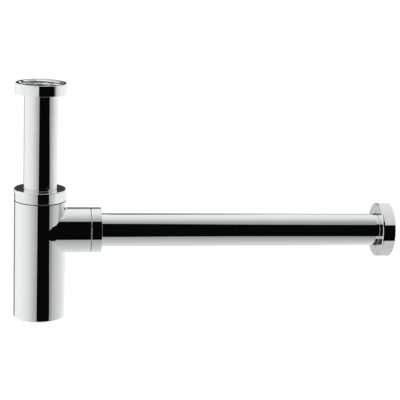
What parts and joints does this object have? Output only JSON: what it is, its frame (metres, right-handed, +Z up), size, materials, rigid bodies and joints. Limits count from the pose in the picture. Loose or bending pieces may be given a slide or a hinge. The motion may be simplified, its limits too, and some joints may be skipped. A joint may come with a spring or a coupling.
{
  "type": "bottle trap",
  "caption": "Chromed basin bottle trap: threaded inlet union, dip tube in a round bottle with a side branch, straight waste pipe and sliding wall rosette.",
  "frame": {"origin": "centre of the inlet's sealing face, on top of the gasket inside the inlet nut", "axes": "+Z up along the inlet tube, +X along the waste pipe to the wall"},
  "size_m": [0.3768, 0.0538, 0.2308],
  "materials": {
    "chrome": "polished",
    "rubber": "matte",
    "slip_plastic": "matte"
  },
  "bodies": {
    "inlet_union": {"inlet_nut": "chrome"},
    "tube": {"inlet_tube": "chrome", "inlet_gasket": "rubber"},
    "bottle": {"bottle_body": "chrome", "bottle_cone_seal": "rubber", "outlet_cone_seal": "rubber"},
    "bottle_ring": {"bottle_slip_ring": "slip_plastic"},
    "bottle_cap": {"bottle_nut": "chrome"},
    "outlet_ring": {"outlet_slip_ring": "slip_plastic"},
    "outlet_cap": {"outlet_nut": "chrome"},
    "pipe": {"waste_pipe": "chrome"},
    "rosette": {"wall_rosette": "chrome", "rosette_grip_ring": "rubber"}
  },
  "joints": [
    {"name": "inlet_swivel", "type": "hinge", "parent": "inlet_union", "child": "tube", "pos_m": [0, 0, 0], "axis": [0, 0, 1], "continuous": true},
    {"name": "height_adjust", "type": "slide", "parent": "tube", "child": "bottle", "axis": [0, 0, 1], "range_m": [-0.01, 0.002]},
    {"name": "bottle_nut_lift", "type": "slide", "parent": "bottle", "child": "bottle_ring", "axis": [0, 0, 1], "range_m": [0, 0.00675]},
    {"name": "bottle_nut_turn", "type": "hinge", "parent": "bottle_ring", "child": "bottle_cap", "pos_m": [0, 0, -0.1082], "axis": [0, 0, 1], "range_deg": [0, 1620]},
    {"name": "outlet_nut_travel", "type": "slide", "parent": "bottle", "child": "outlet_ring", "axis": [1, 0, 0], "range_m": [0, 0.006]},
    {"name": "outlet_nut_turn", "type": "hinge", "parent": "outlet_ring", "child": "outlet_cap", "pos_m": [0.0489, 0, -0.1384], "axis": [1, 0, 0], "range_deg": [0, 1440]},
    {"name": "reach_adjust", "type": "slide", "parent": "bottle", "child": "pipe", "axis": [1, 0, 0], "range_m": [-0.005, 0.014]},
    {"name": "rosette_slide", "type": "slide", "parent": "pipe", "child": "rosette", "axis": [1, 0, 0], "range_m": [-0.265, 0]}
  ],
  "couplings": [
    {"joint": "bottle_nut_lift", "follows": "bottle_nut_turn", "m_per_rad": 0.0002387},
    {"joint": "outlet_nut_travel", "follows": "outlet_nut_turn", "m_per_rad": 0.0002387}
  ]
}
